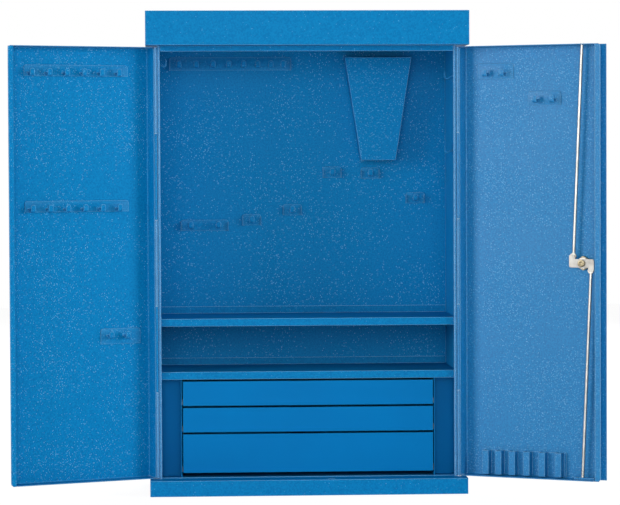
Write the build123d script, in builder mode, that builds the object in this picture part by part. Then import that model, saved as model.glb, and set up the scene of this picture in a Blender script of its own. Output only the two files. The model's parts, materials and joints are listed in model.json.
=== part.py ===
# Steel tool wall cabinet with two swinging doors, two shelves and three drawers, in millimetres.
# X runs to the right, Y to the wall and Z up. The origin is the centre of the plinth's underside.
import os
from math import atan2, cos, degrees, hypot, radians, sin

from build123d import *

os.makedirs("parts", exist_ok=True)

# Sheet metal
sheet = 1.5
bend_radius = 2.0
seat_gap = 0.3

# Body of the cabinet, behind its front plane
body_width = 590.0
body_depth = 212.0
opening_height = 852.0
flange_width = 6.0
flange_return = 9.0
top_rail_height = 11.0

# Doors, with the angle that each stands open at
door_depth = 33.0
door_bend = 3.5
rear_gap = 0.5
door_top_gap = 2.5
door_bottom_gap = 1.2
left_open_angle = 156.5
right_open_angle = 151.4

# Free edges: the left door's lip shuts behind the right door's band
left_stop = 2.0
meeting_gap = 3.0
lip_width = 10.0
lip_gap = 4.5
band_width = 10.5
band_gap = 1.5
lip_corner = 4.0

# Strip hinges
barrel_radius = 2.5
pin_radius = 1.2
pin_clearance = 0.05
leaf_thickness = 0.8
leaf_width = 13.0
knuckle_count = 5
knuckle_gap = 0.4
axis_forward = 0.5

# Header and plinth, which stand forward as far as the shut doors
header_width = 634.0
header_height = 67.0
plinth_width = 625.0
plinth_height = 31.0
front_reveal = 5.0

# Shelves
upper_shelf_height = 346.0
lower_shelf_height = 241.0
shelf_lip = 15.0
shelf_upstand = 14.0

# Drawer unit
drawer_opening_width = 499.0
drawer_side_gap = 2.2
drawer_heights = (76.0, 48.0, 48.0)
drawer_spacing = 4.2
drawer_floor_gap = 9.0
drawer_tray_length = 194.0
tray_side_gap = 12.0
tray_rim_drop = 8.0
grip_width = 70.0
hem_depth = 10.0
runner_height = 9.0
bay_setback = 34.0

# Hooks and the plates that carry them
hook_reach = 16.0
hook_drop = 6.0
hook_rise = 14.0
hook_bend = 4.0
hook_thickness = 2.0
hook_width = 10.0
hook_corner = 3.0
plate_chamfer = 5.0
plate_end_flange = 7.0
clip_hook_lift = 6.0
rail_hook_lift = 1.0

# Long rail under the cabinet's top, whose hooks stand closer towards the right
back_rail_inset = 23.0
back_rail_length = 249.0
back_rail_height = 27.0
back_rail_drop = 15.0
back_rail_first = 20.0
back_rail_last = 232.0
back_rail_hooks = 8
back_rail_tightening = 1.75

# Clips on the back panel: middle and top edge of each
wide_clip_width = 98.0
wide_clip_place = (-200.0, 537.0)
wide_clip_hooks = 28.0
clip_width = 39.0
clip_height = 22.5
clip_places = ((-104.0, 548.0), (-21.0, 568.0), (61.0, 644.0), (139.0, 642.0), (231.0, 591.0))

# Clips on the side walls: distance behind the front, and top edge of each
side_clip_depth = 50.0
left_side_clip_top = 860.0
right_side_clip_tops = (835.0, 688.0)

# Rails and clips on the doors, from the hinge axis
left_rail_height = 22.0
left_rail_overhang = 12.0
left_rail_first = 69.5
left_rail_last = 251.0
left_rail_hooks = 6
upper_rail_drop = 38.0
middle_rail_top = 581.0
left_clip_span = (22.0, 107.0)
left_clip_top = 329.5
left_clip_height = 31.0
left_clip_hooks = (54.5, 89.5)
right_clip_spans = ((29.0, 106.0), (136.0, 205.0))
right_clip_drops = (36.0, 92.0)
right_clip_heights = (31.5, 28.0)
right_clip_hooks = ((50.0, 86.0), (155.0, 191.0))

# Tapered holder on the back panel
holder_centre = 153.0
holder_top_width = 135.0
holder_bottom_width = 70.0
holder_drop = 17.5
holder_height = 208.5
holder_depth = 45.0

# Pockets at the foot of the right door
pocket_count = 6
pocket_first = 44.0
pocket_last_inset = 88.0
pocket_widening = 1.7
pocket_front_width = 11.6
pocket_slope = 1.0
pocket_depth = 15.0
pocket_height = 47.0
pocket_end_flat = 6.0

# Rod lock in the right door, measured from the hinge axis and from the floor
lock_inset = 32.0
lock_height = 455.0
cam_depth = 14.0
cam_thickness = 2.0
cam_length = 51.0
cam_height = 16.5
cam_corner = 3.5
cam_ear_width = 11.5
cam_ear_rise = 8.5
ear_across = 18.0
ear_up = 14.0
rod_radius = 3.0
rod_tip_gap = 0.5
rod_eye_radius = 6.0
rod_eye_thickness = 4.0
pivot_radius = 2.5
rod_slot_length = 14.0
rod_slot_width = 7.4
guide_length = 42.0
guide_width = 12.0
guide_height = 4.0
guide_inset = 6.0
plug_radius = 6.0
shank_radius = 11.0
rose_radius = 16.0
rose_thickness = 2.0
nut_radius = 14.0
nut_thickness = 9.0
screw_radius = 7.0
screw_height = 3.5
screw_taper = 25.0
key_slot_length = 7.0
key_slot_width = 1.6

# Wall fixing
fixing_radius = 4.0
fixing_across = 500.0
fixing_low = 100.0
fixing_high = 916.0

# Places worked out from the sizes above
front_stand = rear_gap + axis_forward + door_depth + front_reveal
front_y = -(body_depth - front_stand) / 2
opening_top = plinth_height + opening_height
total_height = opening_top + header_height
inner_half = body_width / 2 - sheet
wall_depth = body_depth - sheet
behind_flange = flange_return + seat_gap
axis_x = body_width / 2 + barrel_radius
door_bottom = plinth_height + door_bottom_gap
door_top = opening_top - door_top_gap
hinge_edge = barrel_radius
left_flange_edge = axis_x - left_stop
right_skin_edge = axis_x + left_stop - meeting_gap
right_flange_edge = axis_x + left_stop - lip_width - lip_gap
lock_across = right_flange_edge - lock_inset
cam_back = cam_depth + cam_thickness
rod_depth = cam_back + seat_gap + rod_radius
skin_outer = rear_gap + door_depth
skin_inner = skin_outer - sheet
skin_middle = skin_outer - sheet / 2

cabinet = Plane(origin=(0, front_y, 0), x_dir=(1, 0, 0), z_dir=(0, 0, 1))


# Plan view of a door: x along the door, y from its open side to its skin
def door_frame(side, open_angle):
    short_of_flat = radians(180 - open_angle)
    return Plane(
        origin=(side * axis_x, front_y - axis_forward, 0),
        x_dir=(cos(short_of_flat), -side * sin(short_of_flat), 0),
        z_dir=(0, 0, 1),
    )


left_frame = door_frame(-1, left_open_angle)
right_frame = door_frame(1, right_open_angle)


# Upright plane seen from the front, at a depth behind the frame's origin
def facing(frame, depth):
    start = frame.from_local_coords(Vector(0, depth, 0))
    return Plane(origin=start, x_dir=frame.x_dir, z_dir=-frame.y_dir)


# Upright plane seen from the side, with depth along its x
def section(frame, across):
    start = frame.from_local_coords(Vector(across, 0, 0))
    return Plane(origin=start, x_dir=frame.y_dir, z_dir=frame.x_dir)


def write(piece, name):
    piece.part.label = name
    export_step(piece.part, f"parts/{name}.step")


# Side walls, each with a folded front flange
def side_wall(name, side):
    outer = side * body_width / 2
    inner = side * inner_half
    flange = side * (body_width / 2 - flange_width)
    hem = side * (body_width / 2 - flange_width + sheet)
    with BuildPart() as wall:
        with BuildSketch(cabinet.offset(plinth_height)) as outline:
            with BuildLine():
                Polyline(
                    (outer, 0),
                    (outer, body_depth),
                    (inner, body_depth),
                    (inner, sheet),
                    (hem, sheet),
                    (hem, flange_return),
                    (flange, flange_return),
                    (flange, 0),
                    close=True,
                )
            make_face()
            fillet(outline.vertices().group_by(Axis.Y)[0], bend_radius)
        extrude(amount=opening_height)
    write(wall, name)


side_wall("left_side", -1)
side_wall("right_side", 1)

# Back panel between the side walls
with BuildPart() as back_panel:
    with BuildSketch(facing(cabinet, body_depth)):
        with Locations((0, plinth_height + opening_height / 2)):
            Rectangle(2 * inner_half, opening_height)
        with Locations((-fixing_across / 2, fixing_low), (fixing_across / 2, fixing_low)):
            Circle(fixing_radius, mode=Mode.SUBTRACT)
    extrude(amount=sheet)
write(back_panel, "back_panel")


# Flat panels above and below the opening
def flat_panel(name, height):
    with BuildPart() as panel:
        with BuildSketch(cabinet.offset(height)):
            with Locations((0, (behind_flange + wall_depth) / 2)):
                Rectangle(2 * inner_half, wall_depth - behind_flange)
        extrude(amount=sheet)
    write(panel, name)


flat_panel("floor_panel", plinth_height)
flat_panel("top_panel", opening_top - sheet)

# Rail that closes the front flanges at the top
with BuildPart() as top_rail:
    with BuildSketch(section(cabinet, -(body_width / 2 - flange_width))):
        with BuildLine():
            Polyline(
                (0, opening_top),
                (0, opening_top - top_rail_height),
                (flange_return, opening_top - top_rail_height),
                (flange_return, opening_top - top_rail_height + sheet),
                (sheet, opening_top - top_rail_height + sheet),
                (sheet, opening_top),
                close=True,
            )
        make_face()
    extrude(amount=body_width - 2 * flange_width)
write(top_rail, "top_rail")


# Header and plinth are closed sheet boxes with a slot each for the lock's rod
rod_shut_x = axis_x - lock_across
rod_shut_depth = -axis_forward - rod_depth


def sheet_box(name, width, bottom, height, slot_from):
    length = body_depth + front_stand
    middle = (body_depth - front_stand) / 2
    with BuildPart() as box:
        with BuildSketch(cabinet.offset(bottom)):
            with Locations((0, middle)):
                Rectangle(width, length)
        extrude(amount=height)
        fillet(box.edges().filter_by(Axis.Z).group_by(Axis.Y)[0], bend_radius)
        with BuildSketch(cabinet.offset(bottom + sheet)):
            with Locations((0, middle)):
                Rectangle(width - 2 * sheet, length - 2 * sheet)
        extrude(amount=height - 2 * sheet, mode=Mode.SUBTRACT)
        with BuildSketch(cabinet.offset(slot_from)):
            with Locations((rod_shut_x, rod_shut_depth)):
                SlotOverall(rod_slot_length, rod_slot_width)
        extrude(amount=sheet, mode=Mode.SUBTRACT)
        if bottom > 0:
            with BuildSketch(facing(cabinet, body_depth)):
                with Locations((-fixing_across / 2, fixing_high), (fixing_across / 2, fixing_high)):
                    Circle(fixing_radius)
            extrude(amount=sheet, mode=Mode.SUBTRACT)
    write(box, name)


sheet_box("header", header_width, opening_top, header_height, opening_top)
sheet_box("plinth", plinth_width, 0, plinth_height, plinth_height - sheet)


# Shelves with a turned-down front lip and a rear upstand
def shelf(name, height):
    width = 2 * (inner_half - seat_gap)
    back = wall_depth
    with BuildPart() as board:
        with BuildSketch(section(cabinet, -width / 2)):
            with BuildLine():
                Polyline(
                    (behind_flange, height),
                    (behind_flange, height - shelf_lip),
                    (behind_flange + sheet, height - shelf_lip),
                    (behind_flange + sheet, height - sheet),
                    (back, height - sheet),
                    (back, height + shelf_upstand),
                    (back - sheet, height + shelf_upstand),
                    (back - sheet, height),
                    close=True,
                )
            make_face()
        extrude(amount=width)
    write(board, name)


shelf("upper_shelf", upper_shelf_height)
shelf("lower_shelf", lower_shelf_height)

# Drawer unit under the lower shelf
unit_front = behind_flange + sheet + seat_gap
unit_bottom = plinth_height + sheet
unit_top = lower_shelf_height - sheet
unit_half = drawer_opening_width / 2


# Wall of the drawer unit, with a strip that closes the bay behind the fronts
def drawer_unit_side(name, side):
    bay = inner_half - seat_gap - unit_half
    with BuildPart() as wall:
        with BuildSketch(cabinet.offset(unit_bottom)):
            with Locations((side * (unit_half + sheet / 2), (unit_front + wall_depth) / 2)):
                Rectangle(sheet, wall_depth - unit_front)
            with Locations((side * (unit_half + bay / 2), behind_flange + bay_setback + sheet / 2)):
                Rectangle(bay, sheet)
        extrude(amount=unit_top - unit_bottom)
    write(wall, name)


drawer_unit_side("drawer_unit_left", -1)
drawer_unit_side("drawer_unit_right", 1)

# Heights of the drawers, counted from the lowest
drawer_bottoms = []
next_bottom = plinth_height + drawer_floor_gap + sheet
for height in drawer_heights:
    drawer_bottoms.append(next_bottom)
    next_bottom += height + drawer_spacing

tray_half = unit_half - tray_side_gap
tray_front = behind_flange + sheet
tray_lift = 4.0


# Angle runners that the trays slide on, one pair for each drawer
def runners(name, side):
    reach = tray_side_gap + 8
    start = unit_front + 2 * sheet
    length = wall_depth - seat_gap - start
    with BuildPart() as angles:
        for bottom in drawer_bottoms:
            ledge = bottom + tray_lift - seat_gap
            with BuildSketch(section(cabinet, side * unit_half)):
                with Locations((start + length / 2, ledge - sheet / 2)):
                    Rectangle(length, sheet)
            extrude(amount=-side * reach)
            with BuildSketch(section(cabinet, side * unit_half)):
                with Locations((start + length / 2, ledge + runner_height / 2)):
                    Rectangle(length, runner_height)
            extrude(amount=-side * sheet)
    write(angles, name)


runners("left_runners", -1)
runners("right_runners", 1)


# Drawer: a folded front with a hem along its top edge, and a tray behind it
def drawer(name, bottom, height):
    half = unit_half - drawer_side_gap
    top = bottom + height
    with BuildPart() as front:
        with BuildSketch(facing(cabinet, behind_flange + sheet)):
            with Locations((0, bottom + height / 2)):
                Rectangle(2 * half, height)
        extrude(amount=sheet)
        with BuildSketch(cabinet.offset(top - sheet)):
            with Locations((0, tray_front + hem_depth / 2)):
                Rectangle(2 * half, hem_depth)
                Rectangle(grip_width, hem_depth, mode=Mode.SUBTRACT)
        extrude(amount=sheet)
    write(front, f"{name}_front")

    base = bottom + tray_lift
    rim = top - tray_rim_drop
    with BuildPart() as tray:
        with BuildSketch(cabinet.offset(base)):
            with Locations((0, tray_front + drawer_tray_length / 2)):
                Rectangle(2 * tray_half, drawer_tray_length)
        extrude(amount=rim - base)
        with BuildSketch(cabinet.offset(base + sheet)):
            with Locations((0, tray_front + drawer_tray_length / 2)):
                Rectangle(2 * (tray_half - sheet), drawer_tray_length - 2 * sheet)
        extrude(amount=rim - base, mode=Mode.SUBTRACT)
    write(tray, f"{name}_tray")


for name, bottom, height in zip(
    ("lower_drawer", "middle_drawer", "upper_drawer"), drawer_bottoms, drawer_heights
):
    drawer(name, bottom, height)


# Doors: skin and flanges bent from one sheet, with a relief at each corner of the bends
door_height = door_top - door_bottom
door_middle = (door_top + door_bottom) / 2
bend_middle = door_bend - sheet / 2
hinge_middle = hinge_edge + sheet / 2


def door_pan(side, frame, flange_edge, flange_start, lip_level, lip_end):
    flange_middle = flange_edge - sheet / 2
    width = flange_edge - hinge_edge
    with BuildPart() as pan:
        with BuildSketch(frame.offset(door_bottom)):
            with BuildLine() as path:
                FilletPolyline(
                    (side * flange_middle, flange_start),
                    (side * flange_middle, lip_level),
                    (side * lip_end, lip_level),
                    radius=bend_middle,
                )
            trace(path.edges(), line_width=sheet)
        extrude(amount=door_height)
        ends = pan.edges().filter_by(Axis((0, 0, 0), frame.y_dir))
        chamfer(ends.sort_by(Axis((0, 0, 0), frame.x_dir * side))[-2:], lip_corner)
        with BuildSketch(frame.offset(door_bottom + door_bend)):
            with BuildLine() as path:
                FilletPolyline(
                    (side * hinge_middle, rear_gap),
                    (side * hinge_middle, skin_middle),
                    (side * flange_middle, skin_middle),
                    (side * flange_middle, skin_outer - 2 * door_bend),
                    radius=bend_middle,
                )
            trace(path.edges(), line_width=sheet)
        extrude(amount=door_height - 2 * door_bend)
        with BuildSketch(section(frame, side * (hinge_edge + door_bend))):
            with BuildLine() as path:
                FilletPolyline(
                    (rear_gap, door_bottom + sheet / 2),
                    (skin_middle, door_bottom + sheet / 2),
                    (skin_middle, door_top - sheet / 2),
                    (rear_gap, door_top - sheet / 2),
                    radius=bend_middle,
                )
            trace(path.edges(), line_width=sheet)
        extrude(amount=side * (width - 2 * door_bend))
        with BuildSketch(facing(frame, skin_outer - door_bend)):
            with Locations((side * (hinge_edge + width / 2), door_middle)):
                Rectangle(width, door_height)
                Rectangle(width - 2 * sheet, door_height - 2 * sheet, mode=Mode.SUBTRACT)
        extrude(amount=door_depth - 2 * door_bend)
    return pan


lip_level = rear_gap + sheet / 2
left_door_pan = door_pan(
    -1,
    left_frame,
    left_flange_edge,
    skin_outer - door_bend,
    lip_level,
    left_flange_edge + lip_width,
)
write(left_door_pan, "left_door_pan")

# The right door's skin runs on past its flange and covers the gap between the doors
band_level = lip_level + sheet + band_gap
with BuildPart() as right_door_pan:
    add(
        door_pan(
            1,
            right_frame,
            right_flange_edge,
            skin_middle,
            band_level,
            right_flange_edge + band_width,
        ).part
    )
    with BuildSketch(facing(right_frame, skin_outer)):
        with Locations(((right_flange_edge + right_skin_edge) / 2, door_middle)):
            Rectangle(right_skin_edge - right_flange_edge + 2 * sheet, door_height)
    extrude(amount=sheet)
    for height in (door_bottom, door_top - sheet):
        with BuildSketch(right_frame.offset(height)):
            with Locations((lock_across, rod_depth)):
                SlotOverall(rod_slot_length, rod_slot_width)
        extrude(amount=sheet, mode=Mode.SUBTRACT)
    with BuildSketch(facing(right_frame, skin_outer)):
        with Locations((lock_across, lock_height)):
            Circle(shank_radius + pin_clearance)
    extrude(amount=sheet, mode=Mode.SUBTRACT)
write(right_door_pan, "right_door_pan")

# Guide for the lower rod, standing on the right door's lower flange
with BuildPart() as rod_guide:
    with BuildSketch(right_frame.offset(door_bottom + sheet)):
        with Locations((right_flange_edge - guide_inset - guide_length / 2, rod_depth)):
            Rectangle(guide_length, guide_width)
        with Locations((lock_across, rod_depth)):
            SlotOverall(rod_slot_length, rod_slot_width, mode=Mode.SUBTRACT)
    extrude(amount=guide_height)
write(rod_guide, "rod_guide")

# Strip hinges: knuckles by turns on the body's leaf and on the door's leaf
knuckle_pitch = door_height / knuckle_count
notch_reach = barrel_radius + knuckle_gap


# The corner is the hinge axis in the frame, and the leaf lies between its limits in x and y
def hinge_leaf(name, frame, knuckles, corner, leaf_x, leaf_y):
    with BuildPart() as leaf:
        with BuildSketch(frame.offset(door_bottom)):
            with Locations(((leaf_x[0] + leaf_x[1]) / 2, (leaf_y[0] + leaf_y[1]) / 2)):
                Rectangle(abs(leaf_x[1] - leaf_x[0]), abs(leaf_y[1] - leaf_y[0]))
        extrude(amount=door_height)
        for index in range(knuckle_count):
            height = door_bottom + index * knuckle_pitch
            with BuildSketch(frame.offset(height + knuckle_gap / 2)):
                with Locations(corner):
                    Circle(barrel_radius)
            if index in knuckles:
                extrude(amount=knuckle_pitch - knuckle_gap)
            else:
                with BuildSketch(frame.offset(height - knuckle_gap / 2)):
                    with Locations(corner):
                        Rectangle(2 * notch_reach, 2 * notch_reach)
                extrude(amount=knuckle_pitch + knuckle_gap, mode=Mode.SUBTRACT)
        with BuildSketch(frame.offset(door_bottom - 1)):
            with Locations(corner):
                Circle(pin_radius + pin_clearance)
        extrude(amount=door_height + 2, mode=Mode.SUBTRACT)
    write(leaf, name)


body_knuckles = range(0, knuckle_count, 2)
door_knuckles = range(1, knuckle_count, 2)

for name, side, frame in (("left", -1, left_frame), ("right", 1, right_frame)):
    wall = side * body_width / 2
    hinge_leaf(
        f"{name}_hinge_body_leaf",
        cabinet,
        body_knuckles,
        (side * axis_x, -axis_forward),
        (wall, wall + side * leaf_thickness),
        (-axis_forward, leaf_width),
    )
    hinge_leaf(
        f"{name}_hinge_door_leaf",
        frame,
        door_knuckles,
        (0, 0),
        (side * hinge_edge, side * (hinge_edge - leaf_thickness)),
        (0, leaf_width),
    )
    with BuildPart() as pin:
        with BuildSketch(cabinet.offset(door_bottom)):
            with Locations((side * axis_x, -axis_forward)):
                Circle(pin_radius)
        extrude(amount=door_height)
    write(pin, f"{name}_hinge_pin")


# Hook: a tongue that dips as it leaves the plate and turns up at its tip
def hook(frame, depth, across, arm):
    root = depth - sheet / 2
    with BuildPart() as tongue:
        with BuildSketch(section(frame, across - hook_width / 2)):
            with BuildLine() as path:
                Polyline(
                    (root, arm + hook_drop),
                    (root - hook_reach + hook_bend, arm),
                    (root - hook_reach, arm + hook_bend),
                    (root - hook_reach, arm + hook_rise),
                )
            trace(path.edges(), line_width=hook_thickness)
        extrude(amount=hook_width)
        corners = tongue.edges().filter_by(Axis((0, 0, 0), frame.y_dir))
        chamfer(corners.group_by(Axis.Z)[-1], hook_corner)
    return tongue.part


# Hook plate: a strip on a panel, with its upper corners cut and hooks along it
def hook_plate(name, frame, depth, ends, top, height, hooks, lift, flanged=False):
    bottom = top - height
    tongues = [hook(frame, depth, across, bottom + lift) for across in hooks]
    with BuildPart() as plate:
        with BuildSketch(facing(frame, depth)):
            with Locations(((ends[0] + ends[1]) / 2, top - height / 2)):
                outline = Rectangle(ends[1] - ends[0], height)
            chamfer(outline.vertices().group_by(Axis.Y)[-1], plate_chamfer)
        extrude(amount=sheet)
        if flanged:
            with BuildSketch(facing(frame, depth)):
                with Locations(
                    (ends[0] + sheet / 2, bottom + (height - plate_chamfer) / 2),
                    (ends[1] - sheet / 2, bottom + (height - plate_chamfer) / 2),
                ):
                    Rectangle(sheet, height - plate_chamfer)
            extrude(amount=plate_end_flange)
        add(tongues)
    write(plate, name)


def around(middle, width):
    return (middle - width / 2, middle + width / 2)


# Places in a row whose spacing shrinks by the same step each time
def tightening_row(first, last, count, step):
    gaps = count - 1
    pitch = (last - first + step * gaps * (gaps - 1) / 2) / gaps
    return [first + pitch * index - step * index * (index - 1) / 2 for index in range(count)]


rail_left = back_rail_inset - inner_half
hook_plate(
    "back_hook_rail",
    cabinet,
    wall_depth,
    (rail_left, rail_left + back_rail_length),
    opening_top - back_rail_drop,
    back_rail_height,
    tightening_row(
        rail_left + back_rail_first,
        rail_left + back_rail_last,
        back_rail_hooks,
        back_rail_tightening,
    ),
    clip_hook_lift,
    True,
)
hook_plate(
    "back_wide_clip",
    cabinet,
    wall_depth,
    around(wide_clip_place[0], wide_clip_width),
    wide_clip_place[1],
    clip_height,
    around(wide_clip_place[0], 2 * wide_clip_hooks),
    clip_hook_lift,
    True,
)
for number, (across, top) in enumerate(clip_places, 1):
    hook_plate(
        f"back_clip_{number}",
        cabinet,
        wall_depth,
        around(across, clip_width),
        top,
        clip_height,
        (across,),
        clip_hook_lift,
        True,
    )

# Clips on the side walls, in frames whose y runs towards the wall
left_wall = Plane(origin=(0, front_y, 0), x_dir=(0, 1, 0), z_dir=(0, 0, 1))
right_wall = Plane(origin=(0, front_y, 0), x_dir=(0, -1, 0), z_dir=(0, 0, 1))
for name, frame, across, top in (
    ("left_side_clip", left_wall, side_clip_depth, left_side_clip_top),
    ("right_side_clip_1", right_wall, -side_clip_depth, right_side_clip_tops[0]),
    ("right_side_clip_2", right_wall, -side_clip_depth, right_side_clip_tops[1]),
):
    hook_plate(
        name,
        frame,
        inner_half,
        around(across, clip_width),
        top,
        clip_height,
        (across,),
        clip_hook_lift,
    )

for name, top in (
    ("left_upper_hook_rail", opening_top - upper_rail_drop),
    ("left_middle_hook_rail", middle_rail_top),
):
    hook_plate(
        name,
        left_frame,
        skin_inner,
        (-(left_rail_last + left_rail_overhang), -(left_rail_first - 2 * left_rail_overhang)),
        top,
        left_rail_height,
        tightening_row(-left_rail_last, -left_rail_first, left_rail_hooks, 0),
        rail_hook_lift,
    )
hook_plate(
    "left_lower_clip",
    left_frame,
    skin_inner,
    (-left_clip_span[1], -left_clip_span[0]),
    left_clip_top,
    left_clip_height,
    [-across for across in left_clip_hooks],
    2 * clip_hook_lift,
)
for name, span, drop, height, hooks in zip(
    ("right_upper_clip", "right_second_clip"),
    right_clip_spans,
    right_clip_drops,
    right_clip_heights,
    right_clip_hooks,
):
    hook_plate(
        name,
        right_frame,
        skin_inner,
        span,
        opening_top - drop,
        height,
        hooks,
        clip_hook_lift,
    )

# Tapered holder, open above and below
holder_top = opening_top - holder_drop
holder_bottom = holder_top - holder_height
taper = (holder_top_width - holder_bottom_width) / 2 / holder_height


def holder_outline(inset, extra):
    top_half = holder_top_width / 2 - inset + extra * taper
    bottom_half = holder_bottom_width / 2 - inset - extra * taper
    return (
        (holder_centre - top_half, holder_top + extra),
        (holder_centre + top_half, holder_top + extra),
        (holder_centre + bottom_half, holder_bottom - extra),
        (holder_centre - bottom_half, holder_bottom - extra),
    )


with BuildPart() as tapered_holder:
    with BuildSketch(facing(cabinet, wall_depth)):
        with BuildLine():
            Polyline(*holder_outline(0, 0), close=True)
        make_face()
    extrude(amount=holder_depth)
    with BuildSketch(facing(cabinet, wall_depth)):
        with BuildLine():
            Polyline(*holder_outline(sheet, 1), close=True)
        make_face()
    extrude(amount=holder_depth - sheet, mode=Mode.SUBTRACT)
write(tapered_holder, "tapered_holder")

# Corrugated pocket strip on the right door's skin, just above the lower bend
strip_back = skin_inner - sheet / 2
strip_front = skin_inner - pocket_depth
pocket_starts = tightening_row(
    pocket_first, right_flange_edge - pocket_last_inset, pocket_count, -pocket_widening
)
strip_points = []
for start in pocket_starts:
    strip_points += [
        (start - pocket_slope, strip_back),
        (start, strip_front),
        (start + pocket_front_width, strip_front),
        (start + pocket_front_width + pocket_slope, strip_back),
    ]
strip_points.append((strip_points[-1][0] + pocket_end_flat, strip_back))
with BuildPart() as tool_pocket_strip:
    with BuildSketch(right_frame.offset(door_bottom + door_bend)):
        with BuildLine() as folds:
            Polyline(*strip_points)
        trace(folds.edges(), line_width=sheet)
    extrude(amount=pocket_height)
write(tool_pocket_strip, "tool_pocket_strip")

# Lock: a shank through the skin, its nut, the turning plug, the cam and its screw
with BuildPart() as lock_body:
    with BuildSketch(facing(right_frame, skin_outer + rose_thickness)):
        with Locations((lock_across, lock_height)):
            Circle(rose_radius)
            Circle(plug_radius + pin_clearance, mode=Mode.SUBTRACT)
    extrude(amount=rose_thickness)
    with BuildSketch(facing(right_frame, skin_outer)):
        with Locations((lock_across, lock_height)):
            Circle(shank_radius)
            Circle(plug_radius + pin_clearance, mode=Mode.SUBTRACT)
    extrude(amount=sheet + nut_thickness + 1)
write(lock_body, "lock_body")

with BuildPart() as lock_nut:
    with BuildSketch(facing(right_frame, skin_inner)):
        with Locations((lock_across, lock_height)):
            RegularPolygon(nut_radius, 6, rotation=30)
            Circle(shank_radius + pin_clearance, mode=Mode.SUBTRACT)
    extrude(amount=nut_thickness)
write(lock_nut, "lock_nut")

plug_face = skin_outer + rose_thickness
with BuildPart() as lock_plug:
    with BuildSketch(facing(right_frame, plug_face)):
        with Locations((lock_across, lock_height)):
            Circle(plug_radius)
    extrude(amount=plug_face - cam_back)
    with BuildSketch(facing(right_frame, plug_face)):
        with Locations((lock_across, lock_height)):
            Rectangle(key_slot_width, key_slot_length)
    extrude(amount=rose_thickness, mode=Mode.SUBTRACT)
write(lock_plug, "lock_plug")

pivots = (
    (lock_across - ear_across, lock_height + ear_up),
    (lock_across + ear_across, lock_height - ear_up),
)
with BuildPart() as lock_cam:
    with BuildSketch(facing(right_frame, cam_back)) as cam_outline:
        with Locations((lock_across, lock_height)):
            Rectangle(cam_length, cam_height)
        for turn in (-1, 1):
            edge = lock_across + turn * (cam_length - cam_ear_width) / 2
            with Locations((edge, lock_height - turn * (cam_height + cam_ear_rise) / 2)):
                Rectangle(cam_ear_width, cam_ear_rise)
        fillet(cam_outline.vertices(), cam_corner)
    extrude(amount=cam_thickness)
    with BuildSketch(facing(right_frame, cam_back)):
        with Locations(*pivots):
            Circle(pivot_radius)
    extrude(amount=-(rod_eye_thickness + 2 * seat_gap))
write(lock_cam, "lock_cam")

with BuildPart() as cam_screw:
    with BuildSketch(facing(right_frame, cam_depth)):
        with Locations((lock_across, lock_height)):
            Circle(screw_radius)
    extrude(amount=screw_height, taper=screw_taper)
write(cam_screw, "cam_screw")


# Lock rods, hooked on the cam's ears and leaning to the slots in the door's edges
def lock_rod(name, pivot, tip_height):
    run = lock_across - pivot[0]
    rise = tip_height - pivot[1]
    length = hypot(run, rise)
    lean = facing(right_frame, rod_depth)
    start = lean.from_local_coords(Vector(pivot[0], pivot[1], 0))
    along = lean.x_dir * run + lean.y_dir * rise
    with BuildPart() as rod:
        with BuildSketch(facing(right_frame, cam_back + seat_gap + rod_eye_thickness)):
            with Locations(pivot):
                Circle(rod_eye_radius)
        extrude(amount=rod_eye_thickness)
        with BuildSketch(Plane(origin=start, x_dir=right_frame.y_dir, z_dir=along)):
            Circle(rod_radius)
        extrude(amount=length)
        with BuildSketch(facing(right_frame, rod_depth + 2 * rod_eye_thickness)):
            with Locations(pivot):
                Circle(pivot_radius + pin_clearance)
        extrude(amount=4 * rod_eye_thickness, mode=Mode.SUBTRACT)
    write(rod, name)


lock_rod("upper_rod", pivots[0], opening_top - rod_tip_gap)
lock_rod("lower_rod", pivots[1], plinth_height + rod_tip_gap)

print("hinge axes", (-axis_x, front_y - axis_forward), (axis_x, front_y - axis_forward))
lock_axis = right_frame.from_local_coords(Vector(lock_across, 0, lock_height))
print("lock axis through", lock_axis, "along", -right_frame.y_dir)
for name, pivot in zip(("upper", "lower"), pivots):
    print(name, "rod pivot", right_frame.from_local_coords(Vector(pivot[0], 0, pivot[1])))
print("lock turn", degrees(atan2(ear_across, ear_up)))
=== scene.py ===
import itertools
import json
import math
import bpy
from mathutils import Matrix, Vector


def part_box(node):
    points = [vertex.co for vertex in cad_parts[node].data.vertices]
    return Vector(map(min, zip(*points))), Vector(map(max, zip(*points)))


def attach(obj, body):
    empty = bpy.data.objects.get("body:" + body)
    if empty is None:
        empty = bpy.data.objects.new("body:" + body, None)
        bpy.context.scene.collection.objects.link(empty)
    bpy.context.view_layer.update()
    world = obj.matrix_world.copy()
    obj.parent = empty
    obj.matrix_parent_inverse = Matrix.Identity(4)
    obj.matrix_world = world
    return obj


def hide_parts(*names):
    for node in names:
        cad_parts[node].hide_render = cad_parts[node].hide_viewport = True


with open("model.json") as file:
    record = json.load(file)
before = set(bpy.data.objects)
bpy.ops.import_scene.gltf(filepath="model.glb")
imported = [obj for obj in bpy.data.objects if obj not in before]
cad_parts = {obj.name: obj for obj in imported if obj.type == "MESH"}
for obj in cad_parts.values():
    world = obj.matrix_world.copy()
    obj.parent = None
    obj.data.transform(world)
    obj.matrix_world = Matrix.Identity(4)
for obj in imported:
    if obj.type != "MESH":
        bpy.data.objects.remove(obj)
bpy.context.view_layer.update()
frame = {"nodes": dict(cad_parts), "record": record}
scene = bpy.context.scene
nodes = frame["nodes"]
record = frame["record"]
print("frame loaded,", len(nodes), "nodes")


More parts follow.
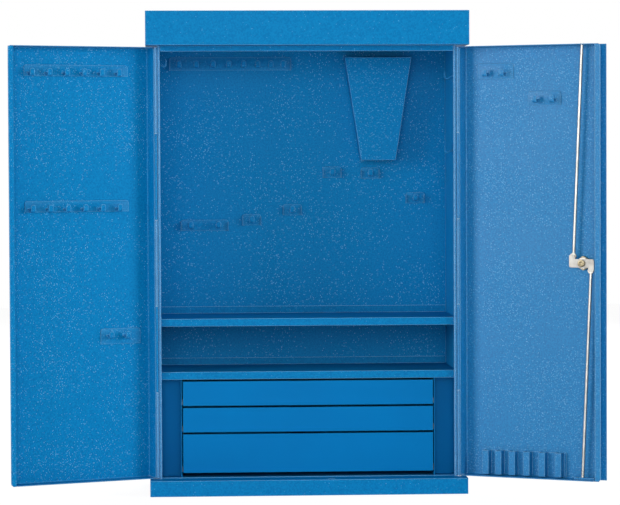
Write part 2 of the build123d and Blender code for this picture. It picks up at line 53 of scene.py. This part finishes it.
# material helpers
def newMaterial(name):
    mat = bpy.data.materials.new(name)
    mat.use_nodes = True
    tree = mat.node_tree
    tree.nodes.clear()
    out = tree.nodes.new("ShaderNodeOutputMaterial")
    shader = tree.nodes.new("ShaderNodeBsdfPrincipled")
    tree.links.new(shader.outputs[0], out.inputs[0])
    return mat, tree, shader


def addTexture(tree, kind, **inputs):  # a texture on object coordinates
    texture = tree.nodes.new(kind)
    coord = tree.nodes.new("ShaderNodeTexCoord")
    tree.links.new(coord.outputs["Object"], texture.inputs["Vector"])
    for key, value in inputs.items():
        texture.inputs[key].default_value = value
    return texture


def addMath(tree, operation, first, second):  # numbers or sockets on either side
    step = tree.nodes.new("ShaderNodeMath")
    step.operation = operation
    step.use_clamp = True
    for socket, value in zip(step.inputs, (first, second)):
        if isinstance(value, (int, float)):
            socket.default_value = value
        else:
            tree.links.new(value, socket)
    return step.outputs[0]


def addMix(tree, factor, first, second):  # colours as tuples or sockets
    mix = tree.nodes.new("ShaderNodeMix")
    mix.data_type = "RGBA"
    tree.links.new(factor, mix.inputs["Factor"])
    for socket, value in zip((mix.inputs[6], mix.inputs[7]), (first, second)):
        if isinstance(value, tuple):
            socket.default_value = (*value, 1)
        else:
            tree.links.new(value, socket)
    return mix.outputs[2]


def addRamp(tree, source, start, end):  # stretches a narrow band of a texture to 0..1
    ramp = tree.nodes.new("ShaderNodeMapRange")
    ramp.inputs["From Min"].default_value = start
    ramp.inputs["From Max"].default_value = end
    tree.links.new(source, ramp.inputs["Value"])
    return ramp.outputs[0]


bendShade = {"samples": 4, "flat": 0.995, "full": 0.86}  # between which cosines the painted highlight along a bend shows


def addBends(tree, radius):  # rounded normal, and how far it leans from the flat one, which places the painted highlight along bends
    bevel = tree.nodes.new("ShaderNodeBevel")
    bevel.samples = bendShade["samples"]
    bevel.inputs["Radius"].default_value = radius
    flat = tree.nodes.new("ShaderNodeNewGeometry")
    dot = tree.nodes.new("ShaderNodeVectorMath")
    dot.operation = "DOT_PRODUCT"
    tree.links.new(bevel.outputs[0], dot.inputs[0])
    tree.links.new(flat.outputs["True Normal"], dot.inputs[1])
    bendHighlightMask = addRamp(tree, dot.outputs["Value"], bendShade["flat"], bendShade["full"])
    return bevel.outputs[0], bendHighlightMask


def addBump(tree, height, normal, strength, distance):
    bump = tree.nodes.new("ShaderNodeBump")
    bump.inputs["Strength"].default_value = strength
    bump.inputs["Distance"].default_value = distance
    tree.links.new(height, bump.inputs["Height"])
    tree.links.new(normal, bump.inputs["Normal"])
    return bump.outputs[0]


# hammer-finish enamel: fine dimples, pale flecks here and there as painted glints, and a painted
# highlight where the sheet bends
hammerLook = {
    "deep": (0.0, 0.158, 0.4),
    "mid": (0.001, 0.205, 0.475),
    "glint": (0.12, 0.36, 0.62),
    # the bend colour is a painted highlight along bends
    "bend": (0.2, 0.44, 0.68),
    "glintShare": 0.24,
    "glintReach": 0.5,  # how much of its cell a painted glint fills
    "glintScale": 500,
    "dimpleScale": 330,
    "dimpleRange": (0.36, 0.6),
    "dimpleBump": (0.28, 0.0004),
    "cloudScale": 9.0,
    "cloudRange": (0.3, 0.66),
    "gloss": (-1.2, 2.4),  # a wider range gives a more even roughness
    "bendRadius": 0.0018,
    "specular": 0.05,
}
glare = {"glintShare": 0.36, "specular": 0.42}  # more painted glints on the right door, a painted sheen, as it is near the left lamp's mirror angle
glareLook = dict(hammerLook, **glare)
# a darker copy of the blue with few painted glints for the header, plinth, top rail, shelves and plugs:
# painted shade
shadedLook = dict(hammerLook, deep=(0.0, 0.146, 0.37), mid=(0.001, 0.187, 0.435), glintShare=0.03)
# hook plates: a dimmer painted highlight along their bends
plateLook = dict(hammerLook, bend=(0.12, 0.36, 0.61))
# side walls and hinge leaves: a brighter, wider painted highlight along their bends
edgeHighlightLook = dict(hammerLook, bend=(0.44, 0.68, 0.86), bendRadius=0.003, specular=0.22)


def hammerEnamel(name, look):
    mat, tree, shader = newMaterial(name)
    dimples = addTexture(tree, "ShaderNodeTexNoise", Scale=look["dimpleScale"], Detail=2.0)
    cloud = addTexture(tree, "ShaderNodeTexNoise", Scale=look["cloudScale"], Detail=3.0)
    # cells for pale flecks in the colour, which are painted glints
    cells = addTexture(tree, "ShaderNodeTexVoronoi", Scale=look["glintScale"])
    split = tree.nodes.new("ShaderNodeSeparateColor")
    tree.links.new(cells.outputs["Color"], split.inputs[0])
    tone = addRamp(tree, dimples.outputs["Fac"], *look["dimpleRange"])
    base = addMix(tree, tone, look["deep"], look["mid"])
    patches = addRamp(tree, cloud.outputs["Fac"], *look["cloudRange"])
    crowd = addMath(tree, "MULTIPLY", patches, look["glintShare"])
    chosen = addMath(tree, "LESS_THAN", split.outputs[0], crowd)
    speck = addMath(tree, "LESS_THAN", cells.outputs["Distance"], look["glintReach"])
    brightness = addMath(tree, "MULTIPLY", addMath(tree, "MULTIPLY", chosen, speck), split.outputs[1])
    glinted = addMix(tree, brightness, base, look["glint"])
    rounded, bendHighlightMask = addBends(tree, look["bendRadius"])
    # the bend colour mixed in here is a painted highlight along bends
    coloured = addMix(tree, bendHighlightMask, glinted, look["bend"])
    tree.links.new(coloured, shader.inputs["Base Color"])
    normal = addBump(tree, dimples.outputs["Fac"], rounded, *look["dimpleBump"])
    tree.links.new(normal, shader.inputs["Normal"])
    tree.links.new(addRamp(tree, cloud.outputs["Fac"], *look["gloss"]), shader.inputs["Roughness"])
    shader.inputs["Specular IOR Level"].default_value = look["specular"]
    return mat


# smooth enamel of the drawers: the same blue with a faint orange peel
smoothLook = {
    "deep": (0.0, 0.148, 0.4),
    "mid": (0.0, 0.163, 0.43),
    # the bend colour is a painted highlight along the drawers' bends
    "bend": (0.01, 0.23, 0.52),
    "peelScale": 130,
    "peelBump": (0.1, 0.0003),
    "cloudScale": 6.0,
    "cloudRange": (0.3, 0.7),
    "gloss": (-0.9, 2.6),
    "bendRadius": 0.0011,
    "specular": 0.03,
}


def smoothEnamel(name, look):
    mat, tree, shader = newMaterial(name)
    peel = addTexture(tree, "ShaderNodeTexNoise", Scale=look["peelScale"], Detail=2.0)
    cloud = addTexture(tree, "ShaderNodeTexNoise", Scale=look["cloudScale"], Detail=3.0)
    tone = addRamp(tree, cloud.outputs["Fac"], *look["cloudRange"])
    base = addMix(tree, tone, look["deep"], look["mid"])
    rounded, bendHighlightMask = addBends(tree, look["bendRadius"])
    # the bend colour mixed in here is a painted highlight along bends
    tree.links.new(addMix(tree, bendHighlightMask, base, look["bend"]), shader.inputs["Base Color"])
    normal = addBump(tree, peel.outputs["Fac"], rounded, *look["peelBump"])
    tree.links.new(normal, shader.inputs["Normal"])
    tree.links.new(addRamp(tree, cloud.outputs["Fac"], *look["gloss"]), shader.inputs["Roughness"])
    shader.inputs["Specular IOR Level"].default_value = look["specular"]
    return mat


# plated metal: fine drawing lines along Z and cloudy plating
linesLook = {
    "scale": 160.0,
    "stretch": 0.06,
    "bump": (0.12, 0.0002),
    "cloudScale": 45.0,
    "cloudRange": (0.32, 0.62),
    "bendRadius": 0.0009,
}
zincLook = {"bright": (0.6, 0.58, 0.53), "dull": (0.42, 0.41, 0.37), "roughness": 0.4}
darkLook = {"bright": (0.16, 0.17, 0.18), "dull": (0.1, 0.11, 0.12), "roughness": 0.55}
camLook = {"bright": (0.42, 0.41, 0.38), "dull": (0.3, 0.29, 0.27), "roughness": 0.45}
yellowLook = {"bright": (0.37, 0.32, 0.21), "dull": (0.25, 0.21, 0.13), "roughness": 0.42}


def platedMetal(name, look):
    mat, tree, shader = newMaterial(name)
    drawn = addTexture(tree, "ShaderNodeTexNoise", Scale=linesLook["scale"], Detail=3.0)
    squeeze = tree.nodes.new("ShaderNodeMapping")
    squeeze.inputs["Scale"].default_value = (1, 1, linesLook["stretch"])
    tree.links.new(drawn.inputs["Vector"].links[0].from_socket, squeeze.inputs["Vector"])
    tree.links.new(squeeze.outputs[0], drawn.inputs["Vector"])
    cloud = addTexture(tree, "ShaderNodeTexNoise", Scale=linesLook["cloudScale"], Detail=4.0)
    tone = addRamp(tree, cloud.outputs["Fac"], *linesLook["cloudRange"])
    tree.links.new(addMix(tree, tone, look["dull"], look["bright"]), shader.inputs["Base Color"])
    rounded = addBends(tree, linesLook["bendRadius"])[0]
    normal = addBump(tree, drawn.outputs["Fac"], rounded, *linesLook["bump"])
    tree.links.new(normal, shader.inputs["Normal"])
    shader.inputs["Metallic"].default_value = 1.0
    shader.inputs["Roughness"].default_value = look["roughness"]
    return mat


finishes = {
    "hammer_blue": hammerEnamel("hammerBlue", hammerLook),
    "smooth_blue": smoothEnamel("smoothBlue", smoothLook),
    "zinc_steel": platedMetal("zincPlate", zincLook),
    "brass": platedMetal("yellowPassivate", yellowLook),
}
glareEnamel = hammerEnamel("hammerBlueGlare", glareLook)
shadedEnamel = hammerEnamel("hammerBlueShaded", shadedLook)
edgeHighlighted = hammerEnamel("hammerBlueEdgeHighlight", edgeHighlightLook)
onPlates = {"right_door": hammerEnamel("hookBlueGlare", dict(plateLook, **glare))}
onPlates["cabinet"] = onPlates["left_door"] = hammerEnamel("hookBlue", plateLook)
hidden = platedMetal("darkPlate", darkLook)
worn = platedMetal("wornPlate", camLook)
variants = {
    shadedEnamel: ("header", "plinth", "top_rail", "upper_shelf", "lower_shelf"),
    edgeHighlighted: ("left_side", "right_side", "left_hinge_body_leaf", "right_hinge_body_leaf"),
    hidden: ("left_runners", "right_runners", "left_hinge_pin", "right_hinge_pin"),
    worn: ("lock_cam",),
}
for part in record["subparts"]:
    cad = nodes[part["node"]]
    cad.data.materials.clear()
    cad.data.materials.append(finishes[part["material_slot"]])
# the right door's enamel parts take the copy with the painted sheen
for name in record["behaviour"]["bodies"]["right_door"]:
    if nodes[name].data.materials[0] == finishes["hammer_blue"]:
        nodes[name].data.materials[0] = glareEnamel
for finish, names in variants.items():
    for name in names:
        nodes[name].data.materials[0] = finish
print("finishes on the carried-over nodes")


# frames of the cabinet and the doors, from the record's hinges
def hingeFrame(side):
    hinge = {-1: "left_door_hinge", 1: "right_door_hinge"}[side]
    joint = [entry for entry in record["behaviour"]["joints"] if entry["name"] == hinge][0]
    shortOfFlat = math.radians(joint["range_deg"][1])
    xDir = Vector((math.cos(shortOfFlat), -side * math.sin(shortOfFlat), 0))
    yDir = Vector((0, 0, 1)).cross(xDir)
    place = Matrix((xDir, yDir, (0, 0, 1))).transposed().to_4x4()
    place.translation = (joint["pos_m"][0], joint["pos_m"][1], 0)
    return place


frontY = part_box("left_side")[0][1]
cabinetPlace = Matrix.Translation((0, frontY, 0))
leftPlace = hingeFrame(-1)
rightPlace = hingeFrame(1)
leftWallPlace = cabinetPlace @ Matrix.Rotation(math.radians(90), 4, "Z")
rightWallPlace = cabinetPlace @ Matrix.Rotation(math.radians(-90), 4, "Z")


# modelling helpers
sheet = 0.0015
near = 1e-5  # how close a face or edge has to be to count as picked
smoothBelow = math.radians(38)  # bends up to this angle are shaded round


def startPiece(name, addPrimitive, **settings):
    bpy.ops.object.select_all(action="DESELECT")
    addPrimitive(**settings)
    piece = bpy.context.object
    piece.name = name
    piece.data.name = name
    return piece


def pick(piece, kind, test):  # in edit mode, selects only what passes the test on its middle
    bpy.ops.mesh.select_all(action="DESELECT")
    bpy.ops.object.mode_set(mode="OBJECT")
    points = piece.data.vertices
    for item in getattr(piece.data, kind):
        corners = [item.co] if kind == "vertices" else [points[i].co for i in item.vertices]
        item.select = bool(test(sum(corners, Vector()) / len(corners)))
    bpy.ops.object.mode_set(mode="EDIT")


def applyModifier(piece, kind, **settings):
    bpy.context.view_layer.objects.active = piece
    modifier = piece.modifiers.new(kind.title(), kind)
    for key, value in settings.items():
        setattr(modifier, key, value)
    bpy.ops.object.modifier_apply(modifier=modifier.name)


def copyPattern(pattern, name, place):  # a copy with its own mesh, put in place
    copy = pattern.copy()
    copy.data = pattern.data.copy()
    copy.name = copy.data.name = name
    scene.collection.objects.link(copy)
    copy.data.transform(place)
    return copy


def finishPiece(piece, body, slot, material, *replaced):
    piece.data.materials.clear()
    piece.data.materials.append(material)
    bpy.ops.object.select_all(action="DESELECT")
    piece.select_set(True)
    bpy.context.view_layer.objects.active = piece
    bpy.ops.object.shade_smooth_by_angle(angle=smoothBelow)
    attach(piece, body)
    if replaced:
        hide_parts(*replaced)


# one hook: a punched tongue that dips as it leaves the plate, turns up and ends round
hookShape = {
    "width": 0.010,
    "thickness": 0.002,
    "reach": 0.016,
    "drop": 0.006,
    "rise": 0.0140,
    "bend": 0.0045,
    "bendSteps": 5,
    "tipShare": 0.36,  # height of the round end over the width
    "tipTurn": 20,  # degrees of each step of its arc
    "tipSteps": 4,
    "edge": 0.0005,
}


def makeHook(shape):
    run = shape["reach"] - shape["bend"]
    hook = startPiece("hookPattern", bpy.ops.mesh.primitive_plane_add, size=1, location=(0, 0, 0))
    bpy.ops.object.mode_set(mode="EDIT")
    bpy.ops.transform.resize(value=(shape["width"], run, 1))
    bpy.ops.transform.translate(value=(0, -run / 2, shape["drop"]))
    bpy.ops.mesh.select_mode(type="VERT")
    pick(hook, "vertices", lambda place: place.y < -run / 2)
    bpy.ops.transform.translate(value=(0, 0, -shape["drop"]))
    turn = math.radians(90) / shape["bendSteps"]
    for step in range(shape["bendSteps"]):
        angle = turn * (step + 0.5)
        chord = 2 * shape["bend"] * math.sin(turn / 2)
        move = (0, -chord * math.cos(angle), chord * math.sin(angle))
        bpy.ops.mesh.extrude_region_move(TRANSFORM_OT_translate={"value": move})
    tip = shape["width"] * shape["tipShare"]
    straight = shape["rise"] - shape["bend"] - tip
    bpy.ops.mesh.extrude_region_move(TRANSFORM_OT_translate={"value": (0, 0, straight)})
    for step in range(shape["tipSteps"]):
        before = math.radians(shape["tipTurn"] * step)
        after = math.radians(shape["tipTurn"] * (step + 1))
        rise = tip * (math.sin(after) - math.sin(before))
        bpy.ops.mesh.extrude_region_move(TRANSFORM_OT_translate={"value": (0, 0, rise)})
        bpy.ops.transform.resize(value=(math.cos(after) / math.cos(before), 1, 1))
    bpy.ops.mesh.select_all(action="SELECT")
    bpy.ops.mesh.normals_make_consistent(inside=False)
    bpy.ops.object.mode_set(mode="OBJECT")
    applyModifier(hook, "SOLIDIFY", thickness=shape["thickness"], offset=0)
    applyModifier(hook, "BEVEL", width=shape["edge"], segments=2, limit_method="ANGLE")
    return hook


# the plates that carry the hooks, with cut top corners, and flanges at the ends on the back panel
plateShape = {"cut": 0.005, "flange": 0.007, "edge": 0.0004, "inset": 0.00006}
hookPattern = makeHook(hookShape)


def hookPlate(name, node, place, body, depth, ends, top, height, hooks, lift, flanged):
    middle, width = (ends[0] + ends[1]) / 2, ends[1] - ends[0]
    plate = startPiece(name, bpy.ops.mesh.primitive_cube_add, size=1, location=(0, 0, 0))
    bpy.ops.object.mode_set(mode="EDIT")
    bpy.ops.transform.resize(value=(width, sheet, height))
    bpy.ops.transform.translate(value=(middle, depth - sheet / 2, top - height / 2))
    bpy.ops.mesh.select_mode(type="EDGE")
    pick(plate, "edges", lambda m: m.z > top - near and abs(m.x - middle) > width / 2 - near)
    bpy.ops.mesh.bevel(offset=plateShape["cut"], segments=2, affect="EDGES")
    if flanged:
        bpy.ops.mesh.select_mode(type="FACE")
        hair = plateShape["inset"]  # keeps the flanges' faces off the plate's
        tall = height - plateShape["cut"] - hair
        deep = plateShape["flange"]
        for end, turn in ((ends[0], 1), (ends[1], -1)):
            bpy.ops.mesh.select_all(action="DESELECT")
            bpy.ops.mesh.primitive_cube_add(size=1, location=(0, 0, 0))
            bpy.ops.transform.resize(value=(sheet, deep, tall))
            bpy.ops.transform.translate(
                value=(end + turn * (sheet / 2 + hair), depth - deep / 2 - hair,
                       top - height + hair + tall / 2))
    bpy.ops.object.mode_set(mode="OBJECT")
    applyModifier(plate, "BEVEL", width=plateShape["edge"], segments=2, limit_method="ANGLE")
    spots = [(across, depth - sheet / 2, top - height + lift) for across in hooks]
    copies = [copyPattern(hookPattern, "hook", Matrix.Translation(spot)) for spot in spots]
    bpy.ops.object.select_all(action="DESELECT")
    for piece in (*copies, plate):
        piece.select_set(True)
    bpy.context.view_layer.objects.active = plate
    bpy.ops.object.join()
    plate.data.transform(place)
    finishPiece(plate, body, "hammer_blue", onPlates[body], node)


def row(first, last, count, tightening=0.0):  # places whose spacing shrinks by the same step
    gaps = count - 1
    pitch = (last - first + tightening * gaps * (gaps - 1) / 2) / gaps
    return [first + pitch * i - tightening * i * (i - 1) / 2 for i in range(count)]


def around(middle, width):
    return (middle - width / 2, middle + width / 2)


# long rail and clips on the back panel
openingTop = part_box("top_panel")[1][2]
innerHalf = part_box("back_panel")[1][0]
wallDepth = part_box("back_panel")[0][1] - frontY
backRail = {
    "inset": 0.023,
    "length": 0.249,
    "height": 0.027,
    "drop": 0.015,
    "lift": 0.006,
    "first": 0.020,
    "last": 0.232,
    "hooks": 8,
    "tightening": 0.00175,
}
railLeft = backRail["inset"] - innerHalf
hookPlate("backHookRail", "back_hook_rail", cabinetPlace, "cabinet", wallDepth,
          (railLeft, railLeft + backRail["length"]), openingTop - backRail["drop"], backRail["height"],
          row(railLeft + backRail["first"], railLeft + backRail["last"], backRail["hooks"],
              backRail["tightening"]),
          backRail["lift"], True)
clip = {"width": 0.039, "height": 0.0225, "lift": 0.006}
wideClip = {"middle": -0.200, "top": 0.537, "width": 0.098, "hooks": 0.056}
hookPlate("backWideClip", "back_wide_clip", cabinetPlace, "cabinet", wallDepth,
          around(wideClip["middle"], wideClip["width"]), wideClip["top"], clip["height"],
          around(wideClip["middle"], wideClip["hooks"]), clip["lift"], True)
backClips = (  # middle and top edge
    (-0.104, 0.548), (-0.021, 0.568), (0.061, 0.644), (0.139, 0.642), (0.231, 0.591),
)
for number, (across, top) in enumerate(backClips, 1):
    hookPlate(f"backClip{number}", f"back_clip_{number}", cabinetPlace, "cabinet", wallDepth,
              around(across, clip["width"]), top, clip["height"], (across,), clip["lift"], True)
print("hooks on the back panel")

# clips on the side walls, one on the left and two on the right
sideClips = {
    "left_side_clip": (leftWallPlace, 0.050, 0.860),
    "right_side_clip_1": (rightWallPlace, -0.050, 0.835),
    "right_side_clip_2": (rightWallPlace, -0.050, 0.688),
}
for node, (place, across, top) in sideClips.items():
    hookPlate(node + "Steel", node, place, "cabinet", innerHalf, around(across, clip["width"]), top,
              clip["height"], (across,), clip["lift"], False)

# rails and clips on the doors, from the hinge axis
skinInner = 0.032
leftRail = {
    "first": 0.0695,
    "last": 0.251,
    "hooks": 6,
    "overhang": 0.012,
    "height": 0.022,
    "lift": 0.001,
    "upperDrop": 0.038,
    "middleTop": 0.581,
}
railEnds = (-(leftRail["last"] + leftRail["overhang"]), 2 * leftRail["overhang"] - leftRail["first"])
railHooks = row(-leftRail["last"], -leftRail["first"], leftRail["hooks"])
railTops = {
    "left_upper_hook_rail": openingTop - leftRail["upperDrop"],
    "left_middle_hook_rail": leftRail["middleTop"],
}
for node, top in railTops.items():
    hookPlate(node + "Steel", node, leftPlace, "left_door", skinInner, railEnds, top, leftRail["height"],
              railHooks, leftRail["lift"], False)
doorClips = {
    "leftLowerClip": {"node": "left_lower_clip", "place": leftPlace, "body": "left_door",
                      "ends": (-0.107, -0.022), "top": 0.3295, "height": 0.031,
                      "hooks": (-0.0545, -0.0895), "lift": 0.012},
    "rightUpperClip": {"node": "right_upper_clip", "place": rightPlace, "body": "right_door",
                       "ends": (0.029, 0.106), "top": openingTop - 0.036, "height": 0.0315,
                       "hooks": (0.050, 0.086), "lift": 0.006},
    "rightSecondClip": {"node": "right_second_clip", "place": rightPlace, "body": "right_door",
                        "ends": (0.136, 0.205), "top": openingTop - 0.092, "height": 0.028,
                        "hooks": (0.155, 0.191), "lift": 0.006},
}
for name, doorClip in doorClips.items():
    hookPlate(name, depth=skinInner, flanged=False, **doorClip)
bpy.data.objects.remove(hookPattern)
print("hooks on the doors and side walls")

# pressed corners of the door pans, where three bends meet: an eighth of a hollow ball each
pan = {  # across from the hinge axis
    "hingeEdge": 0.0025,
    "leftFreeEdge": 0.2955,
    "rightFreeEdge": 0.285,
    "back": 0.0335,
    "corner": 0.0035,
    "facets": 32,
    "softening": 0.0001,
    "softenAbove": math.radians(50),
}
panFoot, panTop = (end[2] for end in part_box("left_door_pan"))


def panCorner(name, toX, toZ):
    ball = startPiece(name, bpy.ops.mesh.primitive_uv_sphere_add, segments=pan["facets"],
                      ring_count=pan["facets"] // 2, radius=pan["corner"], location=(0, 0, 0))
    bpy.ops.object.mode_set(mode="EDIT")
    for normal in ((toX, 0, 0), (0, 1, 0), (0, 0, toZ)):  # keeps the eighth that points out of the pan
        bpy.ops.mesh.select_all(action="SELECT")
        bpy.ops.mesh.bisect(plane_co=(0, 0, 0), plane_no=normal, clear_inner=True)
    bpy.ops.object.mode_set(mode="OBJECT")
    applyModifier(ball, "SOLIDIFY", thickness=sheet, offset=-1)
    applyModifier(ball, "BEVEL", width=pan["softening"], segments=1, limit_method="ANGLE",
                  angle_limit=pan["softenAbove"])
    return ball


doorSides = (  # which way is out, place, body, free edge and finish
    (-1, leftPlace, "left_door", pan["leftFreeEdge"], finishes["hammer_blue"]),
    (1, rightPlace, "right_door", pan["rightFreeEdge"], glareEnamel),
)
for side, place, body, freeEdge, finish in doorSides:
    edges = (("Hinge", pan["hingeEdge"] + pan["corner"], -side), ("Free", freeEdge - pan["corner"], side))
    ends = (("Foot", panFoot + pan["corner"], -1), ("Top", panTop - pan["corner"], 1))
    for (edgeName, across, toX), (endName, height, toZ) in itertools.product(edges, ends):
        shell = panCorner(f"{body}_corner{edgeName}{endName}", toX, toZ)
        spot = (side * across, pan["back"] - pan["corner"], height)
        shell.data.transform(place @ Matrix.Translation(spot))
        finishPiece(shell, body, "hammer_blue", finish)
print("corners of the door pans")

# the lock's screw head, domed at the rim, with a shallow recess
screw = {
    "across": 0.253,
    "height": 0.455,
    "camFront": 0.014,
    "radius": 0.007,
    "facets": 48,
    "thickness": 0.0035,
    "dome": ((0.00021, 0.93), (0.000175, 0.86), (0.000105, 0.78)),  # rise and narrowing of each ring
    "rim": 0.0012,
    "recess": 0.0012,
    "recessTaper": 0.9,
    "edge": 0.00025,
}


def growRings(rings):  # from the picked face
    for rise, share in rings:
        bpy.ops.mesh.extrude_region_move(TRANSFORM_OT_translate={"value": (0, 0, rise)})
        bpy.ops.transform.resize(value=(share, share, 1))


def screwHead(name):
    head = startPiece(name, bpy.ops.mesh.primitive_cylinder_add, vertices=screw["facets"],
                      radius=screw["radius"], depth=screw["thickness"],
                      location=(0, 0, screw["thickness"] / 2))
    bpy.ops.object.transform_apply(location=True, rotation=True, scale=True)
    bpy.ops.object.mode_set(mode="EDIT")
    bpy.ops.mesh.select_mode(type="FACE")
    pick(head, "polygons", lambda m: m.z > screw["thickness"] - near)
    growRings(screw["dome"])
    bpy.ops.mesh.inset(thickness=screw["rim"])
    growRings(((-screw["recess"], screw["recessTaper"]),))
    bpy.ops.object.mode_set(mode="OBJECT")
    applyModifier(head, "BEVEL", width=screw["edge"], segments=2, limit_method="ANGLE")
    return head


faceOut = Matrix.Rotation(math.radians(90), 4, "X")  # turns a piece's z to the open side
camScrew = screwHead("camScrewHead")
camScrew.data.transform(faceOut)
screwSpot = (screw["across"], screw["camFront"], screw["height"])
camScrew.data.transform(rightPlace @ Matrix.Translation(screwSpot))
finishPiece(camScrew, "lock_cam", "brass", finishes["brass"], "cam_screw")
print("lock")

# blanking plugs in the four wall-fixing holes, a little domed in front and dished behind
plug = {
    "radius": 0.00395,
    "facets": 32,
    "dome": ((0.00035, 0.93), (0.00021, 0.75), (0.00014, 0.6)),  # rise and narrowing of each ring
    "rim": 0.0008,
    "dish": 0.0004,
    "edge": 0.00015,
    "across": 0.250,
    "low": 0.100,
    "high": 0.916,
}


def makePlug():
    piece = startPiece("plugPattern", bpy.ops.mesh.primitive_cylinder_add, vertices=plug["facets"],
                       radius=plug["radius"], depth=sheet, location=(0, 0, 0))
    bpy.ops.object.mode_set(mode="EDIT")
    bpy.ops.mesh.select_mode(type="FACE")
    pick(piece, "polygons", lambda m: m.z > sheet / 2 - near)
    growRings(plug["dome"])
    pick(piece, "polygons", lambda m: m.z < near - sheet / 2)
    bpy.ops.mesh.inset(thickness=plug["rim"])
    bpy.ops.mesh.extrude_region_move(TRANSFORM_OT_translate={"value": (0, 0, plug["dish"])})
    bpy.ops.object.mode_set(mode="OBJECT")
    applyModifier(piece, "BEVEL", width=plug["edge"], segments=2, limit_method="ANGLE")
    return piece


plugPattern = makePlug()
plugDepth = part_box("back_panel")[1][1] - sheet / 2
for number, (side, level) in enumerate(((-1, "low"), (1, "low"), (-1, "high"), (1, "high")), 1):
    plugPlace = Matrix.Translation((side * plug["across"], plugDepth, plug[level])) @ faceOut
    plugPiece = copyPattern(plugPattern, f"blankingPlug{number}", plugPlace)
    # the plugs take the darker copy of the blue, with its painted shade
    finishPiece(plugPiece, "cabinet", "hammer_blue", shadedEnamel)
bpy.data.objects.remove(plugPattern)
print("blanking plugs")

# floor, light and camera
studio = {
    "floorSize": 14,
    "floorTone": (0.9, 0.9, 0.9, 1),
    "floorRoughness": 0.9,
    "floorGlow": 1.1,
    "glowShare": 0.85,
    "ambient": 0.22,
    "background": 1.0,
    "lampAim": (0, 0, 0.5),
}
floor = startPiece("floorPlane", bpy.ops.mesh.primitive_plane_add, size=studio["floorSize"],
                   location=(0, 0, 0))
floorMat, floorTree, floorShader = newMaterial("paleFloor")
floorShader.inputs["Base Color"].default_value = studio["floorTone"]
floorShader.inputs["Roughness"].default_value = studio["floorRoughness"]
floorShader.inputs["Specular IOR Level"].default_value = 0.0
glow = floorTree.nodes.new("ShaderNodeEmission")
glow.inputs["Strength"].default_value = studio["floorGlow"]
path = floorTree.nodes.new("ShaderNodeLightPath")
mixer = floorTree.nodes.new("ShaderNodeMixShader")
floorOut = [entry for entry in floorTree.nodes if entry.type == "OUTPUT_MATERIAL"][0]
cameraShare = addMath(floorTree, "MULTIPLY", path.outputs["Is Camera Ray"], studio["glowShare"])
floorTree.links.new(cameraShare, mixer.inputs[0])
floorTree.links.new(floorShader.outputs[0], mixer.inputs[1])
floorTree.links.new(glow.outputs[0], mixer.inputs[2])
floorTree.links.new(mixer.outputs[0], floorOut.inputs[0])
floor.data.materials.append(floorMat)

world = bpy.data.worlds.new("studio")
scene.world = world
world.use_nodes = True
air = world.node_tree
air.nodes.clear()
worldOut = air.nodes.new("ShaderNodeOutputWorld")
seen = air.nodes.new("ShaderNodeLightPath")
airMix = air.nodes.new("ShaderNodeMixShader")
shown = addMath(air, "ADD", seen.outputs["Is Camera Ray"], seen.outputs["Is Transmission Ray"])
air.links.new(addMath(air, "ADD", shown, seen.outputs["Is Glossy Ray"]), airMix.inputs[0])
for socket, strength in ((1, studio["ambient"]), (2, studio["background"])):
    sky = air.nodes.new("ShaderNodeBackground")
    sky.inputs["Color"].default_value = (1, 1, 1, 1)
    sky.inputs["Strength"].default_value = strength
    air.links.new(sky.outputs[0], airMix.inputs[socket])
air.links.new(airMix.outputs[0], worldOut.inputs[0])

lamps = {  # place, size, power
    "frontLamp": ((-0.3, -6.1, 1.1), 3.0, 145),
    "leftLamp": ((-4.07, -2.35, 1.25), 1.8, 101),
    "rightLamp": ((4.19, -2.13, 1.25), 1.8, 127),
    "rearLamp": ((1.2, 4.6, 2.6), 2.0, 150),
}
for name, (place, size, power) in lamps.items():
    bpy.ops.object.light_add(type="AREA", location=place)
    lamp = bpy.context.object
    lamp.name = name
    lamp.data.size = size
    lamp.data.energy = power
    lamp.rotation_mode = "QUATERNION"
    lamp.rotation_quaternion = (Vector(studio["lampAim"]) - Vector(place)).to_track_quat("-Z", "Y")

view = {  # the eye is measured from the cabinet's front plane, the focal length in pixels
    "focal": 2812.81,
    "photoWidth": 620,
    "sensor": 36,
    "farthest": 50,
    "eye": (-0.2764, -5.53222, 0.65969),
    "yaw": -0.05072,
    "pitch": -0.03318,
    "roll": -0.0046,
}
yaw, pitch, roll = view["yaw"], view["pitch"], view["roll"]
rightDir = Vector((math.cos(yaw), math.sin(yaw), 0))
forwardDir = Vector((-math.sin(yaw) * math.cos(pitch), math.cos(yaw) * math.cos(pitch), math.sin(pitch)))
upDir = rightDir.cross(forwardDir)
axisX = math.cos(roll) * rightDir + math.sin(roll) * upDir
axisY = math.cos(roll) * upDir - math.sin(roll) * rightDir
bpy.ops.object.camera_add(location=Vector(view["eye"]) + Vector((0, frontY, 0)))
camera = bpy.context.object
camera.name = "photoCamera"
camera.rotation_mode = "XYZ"
camera.rotation_euler = Matrix((axisX, axisY, -forwardDir)).transposed().to_euler("XYZ")
camera.data.sensor_width = view["sensor"]
camera.data.lens = view["focal"] / view["photoWidth"] * view["sensor"]
camera.data.clip_end = view["farthest"]
scene.camera = camera
scene.view_settings.view_transform = "Standard"
print("floor, light and camera")
